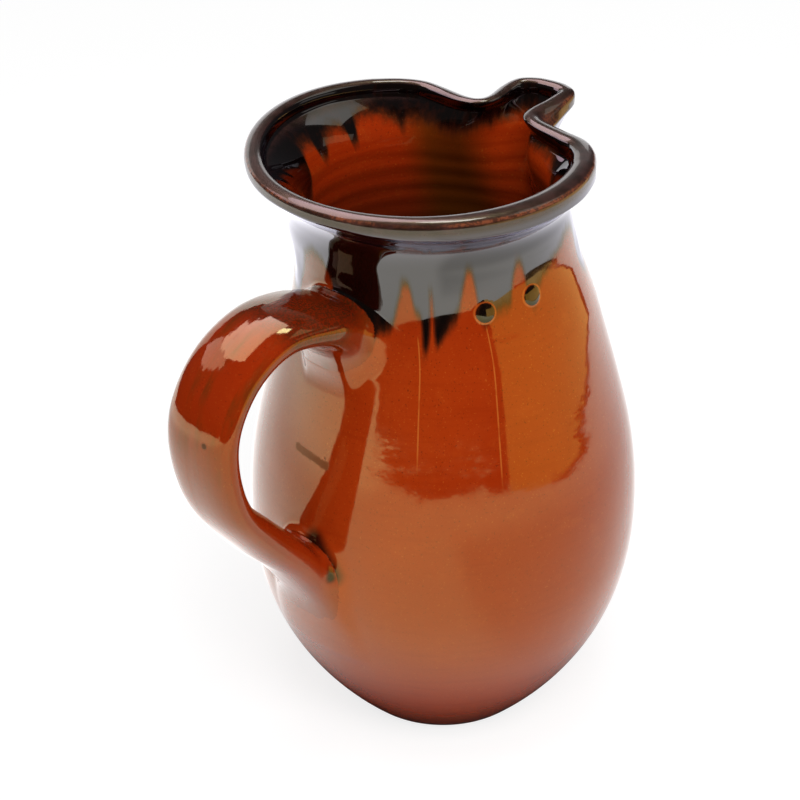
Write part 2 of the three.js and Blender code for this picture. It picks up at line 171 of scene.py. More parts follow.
EDGE_STEPS = 1600
# How the pinched rim comes back to the round: share of the rim's radius, and angle
BACK_TO_ROUND = [(share, math.radians(degrees))
                 for share, degrees in ((0.87, 33), (0.95, 41), (0.985, 50), (1, ROUND_FROM))]


def spout_edge():
    """Points along one side of the rim, from the spout to the round, after their share of the way."""
    front = SPOUT_REACH - SPOUT_CORNER
    points = [
        (SPOUT_REACH, 0),
        (SPOUT_REACH - SPOUT_CORNER / 6, SPOUT_HALF_WIDTH / 2),
        (front, SPOUT_HALF_WIDTH * 0.94),
        ((front + PINCH_DISTANCE) / 2 + PINCH_BEND / 2, SPOUT_HALF_WIDTH),
        (PINCH_DISTANCE + PINCH_BEND, THROAT_HALF_WIDTH),
        (PINCH_DISTANCE + PINCH_BEND / 4, THROAT_HALF_WIDTH + PINCH_BEND / 5),
        (PINCH_DISTANCE, THROAT_HALF_WIDTH + PINCH_BEND),
        *[(RIM_RADIUS * share * math.cos(turn), RIM_RADIUS * share * math.sin(turn))
          for share, turn in BACK_TO_ROUND],
    ]
    fine = spline(points, EDGE_STEPS)
    steps = np.linalg.norm(np.diff(fine, axis=0), axis=1)
    along = np.concatenate([[0], np.cumsum(steps)])
    return along / along[-1], fine


EDGE_SHARE, EDGE_POINTS = spout_edge()


def rim_plan(angle):
    """Plan of the rim with its spout, before it leans."""
    turn = np.degrees(np.abs(angle))
    share = np.clip(turn / ROUND_FROM, 0, 1)
    on_spout = turn < ROUND_FROM
    edge_x, edge_y = (np.interp(share, EDGE_SHARE, EDGE_POINTS[:, axis]) for axis in (0, 1))
    x = np.where(on_spout, edge_x, RIM_RADIUS * np.cos(angle))
    y = np.where(on_spout, edge_y, RIM_RADIUS * np.abs(np.sin(angle)))
    y = np.where(angle < 0, -y, y)
    ahead = smooth(PINCH_DISTANCE + 2 * PINCH_BEND, SPOUT_REACH - SPOUT_CORNER, x)
    skew = SPOUT_SKEW * np.clip(y / SPOUT_HALF_WIDTH, -1, 1) * ahead
    near_pinch = PINCH_SKEW * bell(angle, PINCH_SPREAD, PINCH_AT)
    return x - skew + near_pinch, y - near_pinch


def wall_point(angle, z):
    """Plan of the outer wall at angles and heights, as thrown, pinched and leaned."""
    angle = wrapped(angle)
    z = np.asarray(z, float)
    push = SPOUT_PUSH * bell(angle, SPOUT_SPREAD)
    plan_x, plan_y = rim_plan(angle)
    cosine, sine = np.cos(angle), np.sin(angle)
    swell = (SPOUT_SWELL * smooth(SPOUT_START, SPOUT_SWOLLEN, z)
             + (1 - SPOUT_SWELL) * smooth(SPOUT_SWOLLEN, CREST, z))
    press = np.clip((z - SPOUT_START) / (CREST - SPOUT_START), 0, 1) ** SPOUT_PRESS
    lean = smooth(OFFSET_START, CREST, z)
    rolled = WIDE_LIP_ROLL * bell(angle, WIDE_LIP_SPREAD, WIDE_LIP_AT)
    radius = wall_radius(z + rolled * smooth(NECK_HEIGHT, RIM_HEIGHT, z))
    from_round_x = plan_x - RIM_RADIUS * cosine - push
    from_round_y = plan_y - RIM_RADIUS * sine
    x = cosine * radius + push * swell + from_round_x * press + RIM_OFFSET[0] * lean
    y = sine * radius + from_round_y * press + RIM_OFFSET[1] * lean
    return np.stack([x, y], -1)


SKIN_REACH = 7.5  # degrees to each side over which the wall's direction is taken


def skin(angle, z, inset):
    """Points at angles and heights, set in from the outer wall."""
    angle, z, inset = np.broadcast_arrays(angle, z, inset)
    reach = math.radians(SKIN_REACH)
    along = unit(wall_point(angle + reach, z) - wall_point(angle - reach, z))
    plan = wall_point(angle, z) + inset[..., None] * np.stack([-along[..., 1], along[..., 0]], -1)
    uneven = RIM_LIFT * bell(angle, RIM_LIFT_SPREAD, RIM_LIFT_AT)
    lift = (SPOUT_LIFT * bell(angle, LIFT_SPREAD) + uneven) * smooth(SPOUT_START, CREST, z)
    return np.concatenate([plan, (z + lift)[..., None]], -1)


# The dark runs lean a little round the jug: degrees for each mm below this height
SLANT = 0.16
SLANT_FROM = 170
# Runs of dark glaze on the neck: angle in degrees, top and bottom height, width and rise
RUNS = [
    (-168, 184, 155, 9.0, 0.18), (-156.5, 176, 163, 2.4, 0.1), (-141.6, 174, 156, 2.6, 0.1),
    (-136.0, 174, 159, 4.8, 0.1), (152, 176, 160.5, 4.5, 0.3), (121, 174, 158.5, 4.0, 0.35),
    (84, 176, 162, 4.6, 0.35), (60, 174, 159.5, 3.6, 0.35), (-52, 176, 164, 4.2, 0.3),
    (-28, 176, 167, 4.0, 0.3),
]
RUN_END = (-0.6, 10)  # mm over its bottom where a run starts to rise, and has risen
RUN_TOP = 6  # mm to each side of its top over which it leaves the coat
RUN_SHARPNESS = 1.5
# Beads of it: angle, height, width and rise
BEADS = [(-119.0, 168.7, 6.4, 0.65), (-97.9, 170.2, 6.6, 0.7)]
BEAD_ROUNDNESS = 0.6
# The glaze is thicker on the near shoulder, from a lowest height over its thickest to its highest
THICK_AT = -128
THICK_SPREAD = 125
THICK_RISE = 1.35
THICK_HEIGHTS = (116, 149, 180)
# Throwing rings: rise, spacing, turns of their spiral in a round of the jug, and its start
RINGS = [(0.006, 7.3, -1, 0), (0.005, 4.7, 2, 1)]
# Rise of the uneven wall's slow swells and of its fainter ones
SWELL = 0.05
FAINT_SWELL = 0.02
# Heights between which both set in over the foot, and end under the lip
THROWN_FROM = (4, 20)
THROWN_TO = (190, 198)


def arc_from(angle, degrees, z):
    """Distance along the wall from an angle, in millimetres."""
    slanted = angle + np.radians(SLANT * (SLANT_FROM - z))
    return wrapped(slanted - math.radians(degrees)) * wall_radius(z)


def thrown(angle, z):
    """Throwing rings, and slow swells with three and five lobes round the jug."""
    rings = sum(rise * np.sin(2 * math.pi * z / spacing + turns * angle + start)
                for rise, spacing, turns, start in RINGS)
    slow = SWELL * np.sin(3 * angle + z / 31) * np.sin(z / 37 + 1)
    uneven = slow + FAINT_SWELL * np.sin(5 * angle - z / 29 + 2)
    return (rings + uneven) * smooth(*THROWN_FROM, z) * (1 - smooth(*THROWN_TO, z))


def relief(angle, z):
    """How far the outer glaze stands off the clay."""
    low, thickest, high = THICK_HEIGHTS
    rise = COAT * smooth(*COAT_THINS, z)
    thick = THICK_RISE * bell(angle, THICK_SPREAD, THICK_AT)
    rise = rise + thick * smooth(low, thickest, z) * (1 - smooth(thickest, high, z))
    for degrees, top, bottom, width, height in RUNS:
        across = np.abs(arc_from(angle, degrees, z)) / width
        risen = smooth(bottom + RUN_END[0], bottom + RUN_END[1], z)
        below = risen * (1 - smooth(top - RUN_TOP, top + RUN_TOP, z))
        rise = rise + height * np.exp(-(across * RUN_SHARPNESS) ** 2) * below
    for degrees, height, width, rise_of_bead in BEADS:
        away = np.hypot(arc_from(angle, degrees, z), z - height) / (width / 2)
        rise = rise + rise_of_bead * np.clip(1 - away ** 2, 0, 1) ** BEAD_ROUNDNESS
    return rise + thrown(angle, z)


# The strap's route behind the jug with its half width and half thickness. Its bend is given as shares of
# the stand-off from the belly and of the drop from the crest to the tail.
NECK_WALL, BELLY_WALL = (float(wall_point(math.pi, z)[0]) for z in (ROOT_HEIGHT, TAIL_HEIGHT))
BEND = [
    (0.347, 0, (14.2, 5.5)),
    (0.714, 0.063, STRAP_HALF),
    (0.955, 0.195, STRAP_HALF),
    (1, 0.351, STRAP_HALF),
    (0.874, 0.542, (13.4, 5.6)),
    (0.563, 0.713, TAIL_HALF),
    (0.246, 0.857, TAIL_HALF),
]
ROUTE = [
    (NECK_WALL + ROOT_SINK, ROOT_HEIGHT - ROOT_DIP, *ROOT_HALF),
    (NECK_WALL, ROOT_HEIGHT, *ROOT_HALF),
    (NECK_WALL - SHOULDER_REACH, ROOT_HEIGHT + SHOULDER_RISE, *SHOULDER_HALF),
    *[(BELLY_WALL - HANDLE_STAND_OFF * out, STRAP_CREST + (TAIL_HEIGHT - STRAP_CREST) * down, *half)
      for out, down, half in BEND],
    (BELLY_WALL, TAIL_HEIGHT, *TAIL_HALF),
    (BELLY_WALL + TAIL_SINK, TAIL_HEIGHT - TAIL_SMEAR, *TAIL_END_HALF),
]
ROUTE_STEPS = 720
ROUTE_XZ = spline([(x, z) for x, z, _, _ in ROUTE], ROUTE_STEPS, closed_ends=False)
ROUTE_SIZE = spline([(width, thick) for _, _, width, thick in ROUTE], ROUTE_STEPS)
ROUTE_ALONG = unit(np.gradient(ROUTE_XZ, axis=0))
ROUTE_OUT = np.stack([ROUTE_ALONG[:, 1], -ROUTE_ALONG[:, 0]], -1)


def body_distance(points):
    """Distance from the glazed wall behind the jug, and the way out of it."""
    z = points[:, 2]
    centre = RIM_OFFSET * smooth(OFFSET_START, CREST, z)[:, None]
    away = points[:, :2] - centre
    radius = np.linalg.norm(away, axis=1)
    angle = np.arctan2(away[:, 1], away[:, 0])
    slope = wall_radius(z + 0.5) - wall_radius(z - 0.5)
    gap = (radius - wall_radius(z) - relief(angle, z)) / np.sqrt(1 + slope ** 2)
    out = np.concatenate([away / radius[:, None], -slope[:, None]], 1)
    return gap, unit(out)


def strap_distance(points):
    """Distance from the strap, and the way out of it."""
    from_route = points[:, None, [0, 2]] - ROUTE_XZ[None]
    nearest = np.argmin((from_route ** 2).sum(-1), axis=1)
    up = (from_route[np.arange(len(points)), nearest] * ROUTE_OUT[nearest]).sum(-1)
    across = points[:, 1] - HANDLE_SIDE
    width, thick = ROUTE_SIZE[nearest, 0], ROUTE_SIZE[nearest, 1]
    power = STRAP_SQUARENESS
    a, b = np.abs(across / width) + 1e-6, np.abs(up / thick) + 1e-6
    size = (a ** power + b ** power) ** (1 / power)
    pull_a = size ** (1 - power) * a ** (power - 1) / width * np.sign(across)
    pull_b = size ** (1 - power) * b ** (power - 1) / thick * np.sign(up)
    steep = np.hypot(pull_a, pull_b)
    out = np.stack([pull_b * ROUTE_OUT[nearest, 0], pull_a, pull_b * ROUTE_OUT[nearest, 1]], 1)
    return (size - 1) / steep, out / steep[:, None]


# Size of the worked-in clay's fillet at the tail, its gain under the root, the loss of that gain beside
# the root, and its loss on the root's top edge
FILLET = 7
FILLET_UNDER_ROOT = 9
FILLET_BESIDE_ROOT = 8
FILLET_ON_ROOT = 2.5
# Heights, and distance from the strap's middle, over which these set in
UNDER_ROOT = (128, 148)
ON_ROOT = (ROOT_HEIGHT + 2, ROOT_HEIGHT + 9)
BESIDE_ROOT = (8, 15)
# Wall and strap move onto one surface in steps of up to a stride, where a point is less than a share of
# the fillet beyond the other surface; a point beyond it also sinks by a share of the way
GROW_STEPS = 5
GROW_STRIDE = 3
GROW_REACH = 0.8
SINK = 0.35
SINK_FROM = 0.3
SINK_OVER = 4


def fillet_size(points):
    """Size of the fillet near points, generous under the root and tight elsewhere."""
    z = points[:, 2]
    near_root = smooth(*UNDER_ROOT, z)
    above = smooth(*ON_ROOT, z)
    beside = smooth(*BESIDE_ROOT, np.abs(points[:, 1] - HANDLE_SIDE))
    under = (FILLET_UNDER_ROOT - FILLET_BESIDE_ROOT * beside) * near_root * (1 - above)
    return FILLET + under - FILLET_ON_ROOT * above


def grow_together(points, own_side):
    """Moves points near the joint onto one soft surface round the wall and the strap."""
    moved = points.copy()
    for _ in range(GROW_STEPS):
        wall, wall_out = body_distance(moved)
        strap, strap_out = strap_distance(moved)
        size = fillet_size(moved)
        share = np.clip((size - np.abs(wall - strap)) / size, 0, None)
        union = np.minimum(wall, strap) - share ** 2 * size / 4
        toward_strap = np.where(wall < strap, share / 2, 1 - share / 2)[:, None]
        way = wall_out * (1 - toward_strap) + strap_out * toward_strap
        way /= np.maximum((way ** 2).sum(1, keepdims=True), 0.2)
        beyond = wall - strap if own_side == "wall" else strap - wall
        sunk = SINK * np.clip(beyond - SINK_FROM, 0, SINK_OVER)
        step = np.clip(union + sunk, -GROW_STRIDE, GROW_STRIDE)
        active = (share > 0) & (beyond < size * GROW_REACH)
        moved = moved - np.where(active, step, 0)[:, None] * way
    return moved


def add_object(name, points, faces, material):
    """A mesh from points in metres, as an object of the scene."""
    mesh = bpy.data.meshes.new(name)
    mesh.from_pydata(points, [], faces)
    mesh.materials.append(material)
    obj = bpy.data.objects.new(name, mesh)
    bpy.context.collection.objects.link(obj)
    return obj


def add_piece(name, grid, material):
    """A smooth piece of the jug from rows of points in millimetres, capped at both ends."""
    rows, columns = grid.shape[:2]
    faces = []
    for i in range(rows - 1):
        this_row, next_row = i * columns, (i + 1) * columns
        for j in range(columns):
            right = (j + 1) % columns
            faces.append((this_row + j, this_row + right, next_row + right, next_row + j))
    faces.append(tuple(reversed(range(columns))))
    faces.append(tuple((rows - 1) * columns + j for j in range(columns)))
    piece = add_object(name, (grid.reshape(-1, 3) / 1000).tolist(), faces, material)
    mesh = piece.data
    mesh.polygons.foreach_set("use_smooth", [True] * len(mesh.polygons))
    mesh.validate()
    mesh.update()
    return piece


COLUMNS = 480
COLUMN_SHIFT = 0.22  # moves them closer over the spout
UNDERSIDE_RADII = (0.3, 6, 14, 22, 26.4)
FOOT_ROWS = 6
FLOOR_EDGE = FLOOR + WALL
# Zones of rows up the outside and down the inside: the height where each starts, and its rows
OUTER_ZONES = [(FOOT_EDGE, 14), (20, 72), (150, 50), (185, 34)]
OUTER_END = RIM_HEIGHT - 0.6
INNER_ZONES = [(CREST - 3.4, 44), (168, 46), (100, 44)]
INNER_END = FLOOR_EDGE
# The lip's section: distance inwards and height above the crest
LIP_SECTION = np.array([
    [-0.9, -2.2], [-0.85, -1.3], [-0.4, -0.35], [0.6, 0.3], [2.0, 0.72], [3.4, 0.8], [4.6, 0.5],
    [5.6, -0.15], [6.2, -1.2], [6.5, -2.6],
])
LIP_ROWS = 26
# Throwing rings inside, with the heights between which they end
INNER_RING_RISE = 0.16
INNER_RING_SPACING = 6.1
INNER_RINGS_TO = (178, 194)
# Rows of the dished floor: drop below its edge, and distance inwards from it
FLOOR_ROWS = [(1.2, 1.4), (2.6, 3.6), (3.6, 6.6), (4.2, 10.5), (4.6, 16), (4.6, 24), (4.6, 34)]
# The wall meets the strap behind this x, within this far to each side, and between these heights
JOINT_BEHIND = -20
JOINT_SIDE = 40
JOINT_LOW = 45
JOINT_HIGH = 186


def row_heights(zones, end):
    """Heights of the rows in zones of (start, rows), the last of them at the end."""
    stops = [start for start, _ in zones[1:]] + [end]
    return np.concatenate([np.linspace(start, stop, rows, endpoint=stop == end)
                           for (start, rows), stop in zip(zones, stops)])


def lip_width(angle):
    wide = (WIDE_LIP_WIDTH - LIP_WIDTH) * bell(angle, WIDE_LIP_SPREAD, WIDE_LIP_AT)
    return LIP_WIDTH + wide + (SPOUT_LIP_WIDTH - LIP_WIDTH) * bell(angle, LIFT_SPREAD)


def floor_row(angles, drop, inset):
    """A row of the dished floor, drawn in to the middle of its edge."""
    row = skin(angles, FLOOR_EDGE, WALL)
    centre = row[:, :2].mean(0)
    reach = np.linalg.norm(row[:, :2] - centre, axis=1, keepdims=True)
    row[:, :2] = centre + (row[:, :2] - centre) * np.clip(1 - inset / reach, 0.01, 1)
    row[:, 2] -= drop
    return row


def body_grid():
    """Rows of points from the underside's middle, up the outside, over the lip and down to the floor."""
    even = np.linspace(-math.pi, math.pi, COLUMNS, endpoint=False)
    angles = even - COLUMN_SHIFT * np.sin(even)
    rows = [np.stack([radius * np.cos(angles), radius * np.sin(angles), 0 * angles], 1)
            for radius in UNDERSIDE_RADII]
    for turn in np.linspace(0, 1, FOOT_ROWS + 1)[:-1] * math.pi / 2:
        z = FOOT_EDGE * (1 - math.cos(turn))
        rows.append(skin(angles, z, FOOT_EDGE * (1 - math.sin(turn))))
    for z in row_heights(OUTER_ZONES, OUTER_END):
        rows.append(grow_row(skin(angles, z, -relief(angles, z))))
    width = lip_width(angles)
    outer, inner = LIP_SECTION[0, 0], LIP_SECTION[-1, 0]
    for inset, height in spline(LIP_SECTION, LIP_ROWS)[1:]:
        share = (inset - outer) / (inner - outer)
        rows.append(skin(angles, CREST + height, -COAT + share * (width + 2 * COAT)))
    for z in row_heights(INNER_ZONES, INNER_END):
        depth = WALL + (width - WALL) * smooth(NECK_HEIGHT, RIM_HEIGHT, z)
        glaze = COAT * smooth(*COAT_THINS_INSIDE, z)
        rings = INNER_RING_RISE * np.sin(2 * math.pi * z / INNER_RING_SPACING - angles)
        rows.append(skin(angles, z, depth + glaze + rings * (1 - smooth(*INNER_RINGS_TO, z))))
    rows += [floor_row(angles, drop, inset) for drop, inset in FLOOR_ROWS]
    return np.array(rows)


def grow_row(row):
    x, y, z = row.T
    near = (x < JOINT_BEHIND) & (np.abs(y) < JOINT_SIDE) & (z[0] > JOINT_LOW) & (z[0] < JOINT_HIGH)
    if near.any():
        row = row.copy()
        row[near] = grow_together(row[near], "wall")
    return row


STRAP_SIDES = 72
STRAP_ROWS = 230
STRAP_START = 0.02  # share of the route where the mesh starts, inside the wall


def strap_grid():
    """Rows of points round the strap, from its root to its tail."""
    place = np.linspace(STRAP_START, 1, STRAP_ROWS) * (ROUTE_STEPS - 1)
    steps = np.arange(ROUTE_STEPS)
    middle, out, size = (np.stack([np.interp(place, steps, values[:, k]) for k in range(2)], -1)
                         for values in (ROUTE_XZ, ROUTE_OUT, ROUTE_SIZE))
    turn = -2 * math.pi * np.arange(STRAP_SIDES) / STRAP_SIDES
    across, up = (np.sign(side) * np.abs(side) ** (2 / STRAP_SQUARENESS)
                  for side in (np.cos(turn), np.sin(turn)))
    x = middle[:, :1] + out[:, :1] * size[:, 1:] * up
    y = HANDLE_SIDE + size[:, :1] * across
    z = middle[:, 1:] + out[:, 1:] * size[:, 1:] * up
    grid = np.stack([x, y, z], -1)
    return grow_together(grid.reshape(-1, 3), "strap").reshape(grid.shape)


class Nodes:
    """A node tree with short calls for the nodes that the materials use."""

    def __init__(self, tree):
        self.tree = tree
        tree.nodes.clear()

    def new(self, kind, *values, **settings):
        """A node with its settings, and its first inputs linked or set in their order."""
        node = self.tree.nodes.new(kind)
        for key, value in settings.items():
            setattr(node, key, value)
        for value, socket in zip(values, node.inputs):
            self.link(value, socket)
        return node

    def link(self, source, target):
        if isinstance(source, (int, float)):
            target.default_value = source
        elif isinstance(source, (tuple, list)):
            target.default_value = (*source, 1)[:len(target.default_value)]
        else:
            self.tree.links.new(source, target)

    def filled(self, kind, inputs):
        """The first output of a new node, its inputs linked or set by name."""
        node = self.new(kind)
        for name, value in inputs.items():
            self.link(value, node.inputs[name])
        return node.outputs[0]

    def math(self, operation, a, b=0.0, c=0.0, clamp=False):
        return self.new("ShaderNodeMath", a, b, c, operation=operation, use_clamp=clamp).outputs[0]

    def product(self, first, *others):
        for other in others:
            first = self.math("MULTIPLY", first, other)
        return first

    def rest(self, share):
        return self.math("SUBTRACT", 1.0, share)

    def apart(self, a, b):
        return self.math("ABSOLUTE", self.math("SUBTRACT", a, b))

    def vector(self, operation, a, b=(0.0, 0.0, 0.0), c=(0.0, 0.0, 0.0)):
        node = self.new("ShaderNodeVectorMath", a, b, c, operation=operation)
        return node.outputs["Value" if operation in ("DOT_PRODUCT", "DISTANCE") else "Vector"]

    def axes(self, vector):
        return tuple(self.new("ShaderNodeSeparateXYZ", vector).outputs)

    def ramp(self, x, start, end, low=0.0, high=1.0):
        """low to high as x goes from start to end, softly."""
        settings = {"interpolation_type": "SMOOTHSTEP"}
        return self.new("ShaderNodeMapRange", x, start, end, low, high, **settings).outputs[0]

    def mix(self, share, a, b, kind="RGBA"):
        """Mixes colours, or values where the kind is FLOAT."""
        end = "Color" if kind == "RGBA" else "Float"
        node = self.new("ShaderNodeMix", data_type=kind)
        for value, name in ((share, "Factor_Float"), (a, f"A_{end}"), (b, f"B_{end}")):
            self.link(value, next(s for s in node.inputs if s.identifier == name))
        return next(s for s in node.outputs if s.identifier == f"Result_{end}")

    def mix_value(self, share, a, b):
        return self.mix(share, a, b, "FLOAT")

    def noise(self, place, scale, detail, rough, stretch=None):
        if stretch:
            place = self.filled("ShaderNodeMapping", {"Vector": place, "Scale": stretch})
        return self.filled(
            "ShaderNodeTexNoise", {"Vector": place, "Scale": scale, "Detail": detail, "Roughness": rough})

    def curve(self, x, points):
        """A value that follows listed points, x and y both from 0 to 1."""
        node = self.new("ShaderNodeFloatCurve")
        line = node.mapping.curves[0]
        while len(line.points) < len(points):
            line.points.new(0.5, 0.5)
        for knot, (at, value) in zip(line.points, points):
            knot.location = (at, value)
            knot.handle_type = "AUTO"
        node.mapping.extend = "HORIZONTAL"
        node.mapping.update()
        self.link(x, node.inputs["Value"])
        return node.outputs["Value"]

    def line_distance(self, place, start, end):
        """Distance of a place in mm from a straight line between two points."""
        start, end = Vector(start), Vector(end)
        way = (end - start).normalized()
        along = self.vector("DOT_PRODUCT", self.vector("SUBTRACT", place, tuple(start)), tuple(way))
        held = self.math("MINIMUM", self.math("MAXIMUM", along, 0.0), (end - start).length)
        spread = self.new("ShaderNodeCombineXYZ", held, held, held).outputs[0]
        nearest = self.vector("MULTIPLY_ADD", spread, tuple(way), tuple(start))
        return self.vector("DISTANCE", place, nearest)

    def finish(self, shader, kind="ShaderNodeOutputMaterial"):
        self.link(shader, self.new(kind).inputs["Surface"])


def new_material(name):
    material = bpy.data.materials.new(name)
    material.use_nodes = True
    return material, Nodes(material.node_tree)


# Lower edge of the dark coat outside, angle in degrees and height: tongues of bare amber between dark runs
COAT_EDGE = [
    (-180, 170), (-178, 164), (-175, 158), (-170, 156), (-164, 156), (-161, 158), (-159.4, 163),
    (-156, 163.8), (-154, 166), (-152.8, 170), (-151.2, 175), (-148.6, 180), (-146.6, 176),
    (-145.6, 170.5), (-143.4, 168), (-142.4, 160), (-141.5, 157.4), (-140.7, 160), (-140.0, 169),
    (-139.3, 178), (-138.6, 170), (-138.2, 161.5), (-137.4, 160), (-135.6, 162.5), (-132, 166.5),
    (-129, 170), (-127.8, 175), (-126, 180.5), (-124.2, 184), (-122.4, 180), (-121.4, 174),
    (-120.8, 167.5), (-119.3, 165.8), (-117.5, 167.5), (-113.8, 169), (-108.6, 170.2), (-106.8, 175.5),
    (-104.6, 181), (-102.8, 183), (-100.9, 180), (-99.6, 174), (-98.8, 168.5), (-97.6, 167),
    (-95.5, 171.5), (-89.5, 176), (-84, 178), (-76, 181), (-68, 183), (-60, 178), (-52, 164), (-46, 174),
    (-38, 181), (-30, 169), (-22, 174), (-10, 180), (2, 170), (14, 167), (24, 178), (36, 181), (48, 168),
    (60, 160), (68, 176), (76, 180), (84, 163), (94, 173), (104, 180), (113, 168), (121, 159), (129, 174),
    (137, 180), (145, 168), (152, 161.5), (157, 169), (161, 176), (166, 181.5), (172, 182), (176, 179),
    (180, 170),
]
# And inside the neck
COAT_EDGE_INSIDE = [
    (-180, 172), (-165, 178), (-150, 172), (-135, 180), (-120, 176), (-105, 183), (-90, 178), (-75, 184),
    (-60, 188), (-48, 190), (-41, 195), (-35, 198), (-26, 198), (-18, 198), (-8, 198), (2, 198), (9, 197),
    (14, 196), (20, 194.5), (26, 193.5), (32, 193.5), (37, 194.8), (41, 195.4), (45, 195.8),
    (48.5, 195.6), (52, 193.4), (54.5, 195.8), (59, 196.6), (64, 198), (70, 198.2), (73, 197),
    (75, 191.5), (77.5, 190.6), (79.5, 195.5), (84, 196.6), (88, 196), (92, 194.5), (95, 190),
    (98, 190.6), (100, 195), (104, 196.5), (108, 196), (111, 189), (115, 183), (120, 181), (126, 186),
    (131, 188), (136, 183), (145, 178), (155, 174), (168, 170), (180, 172),
]
EDGE_LOW, EDGE_HIGH = 150, 200
ARC = 120  # degrees that one curve covers, so that it keeps the fine tongues
# Degrees by which the edge is shifted and averaged, for its soft sides
EDGE_BLUR = [-0.6, 0.0, 0.6]


def edge_height(nodes, degrees, edge):
    """Height of a glaze edge round the jug, from a list of angles and heights."""
    angles, heights = zip(*edge)
    height = EDGE_LOW
    for start in range(-180, 180, ARC):
        ends = [(stop, np.interp(stop, angles, heights)) for stop in (start, start + ARC)]
        arc = ends[:1] + [point for point in edge if start < point[0] < start + ARC] + ends[1:]
        points = [((at - start) / ARC, (value - EDGE_LOW) / (EDGE_HIGH - EDGE_LOW)) for at, value in arc]
        share = nodes.math("MULTIPLY_ADD", degrees, 1 / ARC, -start / ARC, clamp=True)
        here = nodes.math("MULTIPLY_ADD", nodes.curve(share, points), EDGE_HIGH - EDGE_LOW, EDGE_LOW)
        height = nodes.mix_value(nodes.math("GREATER_THAN", degrees, start), height, here)
    return height


# Colours of the glaze, linear
AMBER = (0.36, 0.027, 0.0022)
AMBER_DEEP = (0.22, 0.012, 0.0012)
AMBER_PALE = (0.42, 0.056, 0.006)
THREAD = (0.55, 0.14, 0.02)
OLIVE = (0.15, 0.04, 0.005)
REDDISH = (0.05, 0.008, 0.003)
# Painted shade on one side of the inside
INSIDE_SHADE = (0.06, 0.02, 0.0015)
UMBER_GLAZE = (0.10, 0.024, 0.003)
BROWN = (0.060, 0.011, 0.003)
DARK = (0.006, 0.0022, 0.0016)
LIP_DARK = (0.018, 0.0065, 0.0055)
LIP_BROWN = (0.058, 0.023, 0.02)
# A painted reflection under the lip
PLUM_REFLECTION = (0.04, 0.011, 0.010)
WEAR = (0.26, 0.07, 0.028)
TERRACOTTA = (0.42, 0.16, 0.075)
TERRACOTTA_GRIT = (0.30, 0.10, 0.045)

# Noise in the glazes: scale per metre, detail, roughness, and how it is stretched or squeezed
SLOW = (14.0, 3.0, 0.55)
CLOUD = (130.0, 4.0, 0.65)
GRAIN = (1500.0, 1.0, 0.6)
WAVES = (42.0, 1.0, 0.4)
PEEL = (230.0, 2.0, 0.5)
RAGGED = (480.0, 3.0, 0.6, (1, 1, 0.2))
TURNED = (34.0, 3.0, 0.6, (1, 1, 16))
LOOSE = (900.0, 2.0, 0.5)
STREAK = (330.0, 3.0, 0.6, (1, 1, 0.1))
MOTTLE = (260.0, 3.0, 0.6)
SPECKLE = (900.0, 2.0, 0.7)
PATCHY = (55.0, 2.0, 0.5)
GRIT = (700.0, 4.0, 0.7)
STRAP_STREAKS = (150.0, 4.0, 0.6, (0.22, 1, 0.22))
STRAP_CLOUDS = (60.0, 2.0, 0.5)
STRAP_UNEVEN = (120.0, 3.0, 0.6)
STRAP_SPECKS = (1400.0, 2.0, 0.7)
STRAP_PULLED = (230.0, 2.0, 0.5, (0.03, 1, 0.03))

TO_MM = (1000.0, 1000.0, 1000.0)
MM_PER_DEGREE = math.radians(NECK_RADIUS)  # along the neck
# Heights over the coat's edge where it gets dark, where its thin fringe gets brown and where it is toned,
# and by how many mm the edge is ragged
DARK_OVER = (-1.2, 3.4)
FRINGE_OVER = (-3.8, 0.8)
LOW_OVER = (13.0, 2.0)
RAGGED_BY = 4.4
# Heights between which a change starts and is complete
PALE_BELLY = (122.0, 60.0)
DEEP_INSIDE = (192.0, 150.0)
UNDER_LIP = (189.0, 196.0)
ON_LIP = (198.5, 201.5)
WORN_LIP = (198.0, 200.0)
BARE_BELOW = 0.35
STREAKED_STRAP = (128.0, 150.0)
COATED_STRAP = (163.0, 171.0)
COATED_STRAP_X = (-88.0, -76.0)
COATED_STRAP_BY = 8.0  # mm by which these two are uneven, in all
# Painted shade on one side of the inside: angle, and degrees to each side where that starts and is complete
SHADE_AT = 32
SHADE_REACH = (26.0, 6.0)
# Thin pale threads in the glaze: angle and the heights of both ends; and their sides in degrees
THREADS = [(-145.9, 163, 117), (-120.0, 166, 112)]
THREAD_SIDES = (0.34, 0.12)
THREAD_TOP, THREAD_FOOT = 3, 12  # mm over which an end fades
# Marks of fingers and tools in the glaze: both ends in mm, half width, and colour
MARKS = [
    ((-58.6, 9.0, 117.4), (-59.2, -4.0, 116.0), 1.5, OLIVE),
    ((-54.8, -16.0, 123.6), (-54.4, -18.6, 121.6), 0.35, BROWN),
    ((-55.2, -18.4, 119.6), (-54.6, -20.4, 117.4), 0.45, OLIVE),
    ((-56.0, -19.2, 114.4), (-55.2, -22.6, 112.8), 0.5, BROWN),
    ((-51.8, -29.0, 112.4), (-51.2, -30.2, 110.6), 0.4, OLIVE),
    ((-58.4, -3.4, 118.2), (-58.4, -3.4, 117.6), 0.6, BROWN),
]
# A dark mark on the outside of the strap, with its outer and inner radius
DOT = (-109.6, -4.4, 146.0)
DOT_REACH = (1.3, 0.7)
# Painted shade where the strap meets the wall: dark in the crevice over the handle's tail, brown in the crease
# beside its root. Both ends in mm, and the distances from that line where it starts and is complete
TAIL_SHADE_LINE = ((-64.8, -3.5, 90.5), (-66.8, -12.6, 81.0))
TAIL_SHADE_ON_BODY = (5.6, 1.4)
TAIL_SHADE_ON_STRAP = (2.6, 0.6)
ROOT_CREASE_SHADE_LINE = ((-52.4, -16.0, 163.5), (-50.8, -17.2, 147.0))
ROOT_CREASE_SHADE_REACH = (1.5, 0.5)

